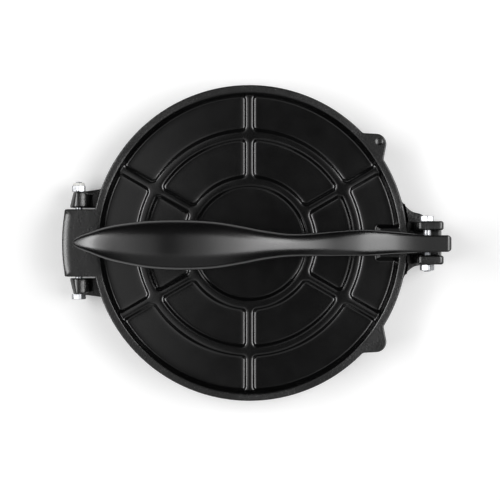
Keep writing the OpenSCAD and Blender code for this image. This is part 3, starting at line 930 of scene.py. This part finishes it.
def rounded_path(points, step=0.1):
    """A smooth curve through points, by their distance along the chords."""
    points = np.array(points, float)
    run = np.concatenate([[0], np.cumsum(np.linalg.norm(np.diff(points, axis=0), axis=1))])
    at = np.arange(0, run[-1] + step, step).clip(0, run[-1])
    return np.stack([through(run, points[:, k], at) for k in range(2)], -1)


def lever_casting():
    """The lever as a section carried along its top and bottom lines, which
    are paired stretch by stretch. The section's top and bottom are curves
    b (1 - (1 - |u|^n)^(1/n)) deep along each line's normal, u running from
    side to side. The sides between them are straight. The middle line
    sways a little to the right, as cast."""
    top_x, top_z = lever_top()
    heel_top = circle_part(heel_x - heel_r, top_z[-1] - heel_r, heel_r, 88, 0, 20)
    top = np.vstack([np.stack([top_x, top_z], -1), heel_top])
    tip = (tip_x, top_z[0])
    under = rounded_path([
        tip, (tip_x + 0.7, 55.3), (-88.3, 54.1), (-83, 55.4), (-74.5, 57.7), (-60, 60.2), (-46, 61),
        (-29, 59.8), (-11.5, 56.2), (4, 51.4), (20, 45.8), (38.6, 40.3), (52, 37.4), (60.2, 34.6),
        (65.6, 29.2), (nose_x - nose_r - 0.05, nose_z + 3),
    ])
    nose = circle_part(nose_x, nose_z, nose_r, 180, 360, 30)
    behind = rounded_path([
        (nose_x + nose_r, nose_z), (nose_x + nose_r + 0.4, 24.6), (76.2, 27.6), (81, 28.9), (86.2, 28.4),
        (91, 26.3), (95, heel_low_z), (heel_x - heel_low_r, heel_low_z),
    ])
    heel_low = circle_part(heel_x - heel_low_r, heel_low_z + heel_low_r, heel_low_r, -90, 0, 12)
    bottom = np.vstack([under, nose, behind, heel_low])
    meets = [
        (tip, tip), ((-84, 62), (-84, 55)), ((57, 45), (57, 36)), ((77, 40), (76.2, 27.6)),
        ((95, 38.4), (95, heel_low_z)), (tuple(top[-1]), tuple(bottom[-1])),
    ]
    tops = []
    bottoms = []
    for start, end, count in zip(meets, meets[1:], (30, 120, 60, 20, 40)):
        tops.append(evenly(top, start[0], end[0], count)[:-1])
        bottoms.append(evenly(bottom, start[1], end[1], count)[:-1])
    tops = np.vstack([*tops, top[-1]])
    bottoms = np.vstack([*bottoms, bottom[-1]])

    def half(path, inward, crown, power):
        """One half of each section, from +Y to -Y."""
        along = np.gradient(path, axis=0)
        normal = np.stack([-along[:, 1], along[:, 0]], -1) * inward
        normal /= np.maximum(np.linalg.norm(normal, axis=1, keepdims=True), 1e-9)
        across = np.sin(np.linspace(np.pi / 2, -np.pi / 2, 45))
        wide = lever_width(path[:, 0])[:, None]
        power = power[:, None]
        dip = crown[:, None] * (1 - np.maximum(1 - np.abs(across) ** power, 0) ** (1 / power))
        x = path[:, :1] + normal[:, :1] * dip
        z = path[:, 1:] + normal[:, 1:] * dip
        return np.stack([x, wide * across + along_table(sway, x), z], -1)

    high_x = tops[:, 0]
    low_x = bottoms[:, 0]
    depth = lever_width(high_x) * along_table(top_depths, high_x)
    low_depth = lever_width(low_x) * along_table(low_depths, low_x)
    upper = half(tops, -1, depth, along_table(top_powers, high_x))
    lower = half(bottoms, 1, low_depth, along_table(low_powers, low_x))
    steps = np.linspace(0, 1, 6)[1:-1, None]
    right = upper[:, None, -1] + steps * (lower[:, None, -1] - upper[:, None, -1])
    left = lower[:, None, 0] + steps * (upper[:, None, 0] - lower[:, None, 0])
    return skin("lever_body", np.concatenate([upper, right, lower[:, ::-1], left], 1))


def ground_coating():
    """Smooth satin black over ground iron: hardly any grain and a slow
    change in gloss and tone."""
    finish = Finish("ground_coating", specular_ior_level=1.0)
    mottle = finish.grain(14, 2)
    fine = finish.grain(0.5, 2)
    colour = finish.shade(mottle, (0.0014, 0.0014, 0.0015), (0.0028, 0.0028, 0.0029))
    rough = 0.22 + (mottle - 0.5) * 0.03 + fine * 0.02
    return finish.set(base_color=colour, roughness=rough, normal=finish.relief(fine, 0.004))


lever = combined("lever_piece", lever_casting(), [bar(pivot_x, pivot_z, hole_r, 8)], "DIFFERENCE")
ground_coating().on(lever)
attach(lever, "lever")
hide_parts("lever")


# ----------------------------------------------------------------- lever bolt
# The same zinc-plated M4 bolt, shorter, through both upright lugs and the
# lever's eye.

nut_h = 3.2
lever_bolt = bolt("lever_bolt_piece", pivot_x, pivot_z, ear_out, -ear_out - nut_h - 0.6, math.pi / 48)
zinc_finish.on(lever_bolt)
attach(lever_bolt, "base")
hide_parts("lever_bolt")


# ------------------------------------------------------------------ lever nut
# A plain zinc-plated M4 nut, tightened against the right lug.

lever_nut = nut("lever_nut_piece", pivot_x, pivot_z, -ear_out, -1, nut_h, -math.pi / 24)
zinc_finish.on(lever_nut)
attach(lever_nut, "base")
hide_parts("lever_nut")


# ------------------------------------------------------------------ tabletop
# A wide round sheet of matt white paper on a table.


def paper_sheet():
    """A flat disc about Z, 4 m in radius, as rings of points."""
    out = np.array([0.05, 0.3, 0.8, 1.6, 4.0])[:, None]
    t = np.linspace(0, 2 * np.pi, 96, endpoint=False)
    points = np.stack([out * np.cos(t), out * np.sin(t), 0 * out + 0 * t], -1)
    number = np.arange(out.size * 96).reshape(-1, 96)
    right = np.roll(number, -1, 1)
    quads = np.stack([number[:-1], number[1:], right[1:], right[:-1]], -1).reshape(-1, 4)
    mesh = bpy.data.meshes.new("tabletop")
    mesh.from_pydata(points.reshape(-1, 3).tolist(), [], quads.tolist() + [number[0].tolist()])
    return finished("tabletop", mesh)


def white_paper():
    """Matt white paper with a faint fibre. The camera sees it brighter, by
    a quarter of full white, than the lamps make it."""
    finish = Finish("white_paper", roughness=0.9, specular_ior_level=0.1, emission_strength=1.0)
    fibre = finish.grain(30, 3)
    seen = fibre.node("ShaderNodeLightPath", {}, {}, "Is Camera Ray")
    return finish.set(
        base_color=finish.shade(fibre, (0.86, 0.86, 0.86), (0.88, 0.88, 0.88)),
        emission_color=seen * 0.24,
    )


tabletop = paper_sheet()
white_paper().on(tabletop)


# --------------------------------------------------------------------- camera
# Straight above the closed press, one metre up, with the lever's pivot to
# the right. The picture is 268.8 mm wide at the height of the rim.

view_h = 1000.0
frame_w = 268.8
camera = bpy.data.objects.new("camera", bpy.data.cameras.new("camera"))
camera.data.lens = camera.data.sensor_width * (view_h - rim_z) / frame_w
camera.location = (0.3 * MM, -3.8 * MM, view_h * MM)
scene.collection.objects.link(camera)
scene.camera = camera


# ---------------------------------------------------------------------- lamps
# Four long softboxes stand one above the other beyond the lever's pivot and
# four beyond the hinge. The low, bright ones draw the lines on the castings,
# and all of them the soft gradient along the lever. A wide, weak one in
# front lights the sides.

lamp_distance = 2.4


def softbox(name, direction, low, high, length, radiance):
    """A lamp 2.4 m away, aimed at the press from a direction about Z, that
    spans the heights from low to high in degrees. Its power is radiance
    times pi times its area."""
    turn = math.radians(direction)
    up = math.radians((low + high) / 2)
    width = 2 * lamp_distance * math.tan(math.radians((high - low) / 2))
    lamp = bpy.data.lights.new(name, "AREA")
    lamp.shape = "RECTANGLE"
    lamp.size = length
    lamp.size_y = width
    lamp.energy = radiance * math.pi * width * length
    box = bpy.data.objects.new(name, lamp)
    flat = lamp_distance * math.cos(up)
    box.location = (flat * math.cos(turn), flat * math.sin(turn), lamp_distance * math.sin(up))
    box.rotation_euler = (math.pi / 2 - up, 0, turn + math.pi / 2)
    box.visible_camera = False
    scene.collection.objects.link(box)


softbox("pivot_low_box", 8, 31, 48, 2.3, 5.8)
softbox("pivot_middle_box", 0, 48, 60, 1.9, 3.1)
softbox("pivot_high_box", 0, 60, 71, 1.9, 1.5)
softbox("pivot_top_box", 0, 71, 83, 1.9, 0.36)
softbox("hinge_low_box", 174, 31, 48, 2.2, 6.4)
softbox("hinge_middle_box", 174, 48, 60, 2.1, 2.1)
softbox("hinge_high_box", 180, 60, 72, 1.9, 0.8)
softbox("hinge_top_box", 180, 72, 86, 1.9, 0.46)
softbox("front_box", -90, 12, 72, 2.2, 0.22)

# The room is dark to the press and white to the camera.
world = bpy.data.worlds.new("studio")
world.use_nodes = True
seen = Wire(world.node_tree).node("ShaderNodeLightPath", {}, {}, "Is Camera Ray")
inputs = {"Factor": seen, 6: (0.01, 0.01, 0.01, 1), 7: (1, 1, 1, 1)}
sky = seen.node("ShaderNodeMix", {"data_type": "RGBA"}, inputs, 2)
world.node_tree.links.new(sky.socket, world.node_tree.nodes["Background"].inputs["Color"])
scene.world = world
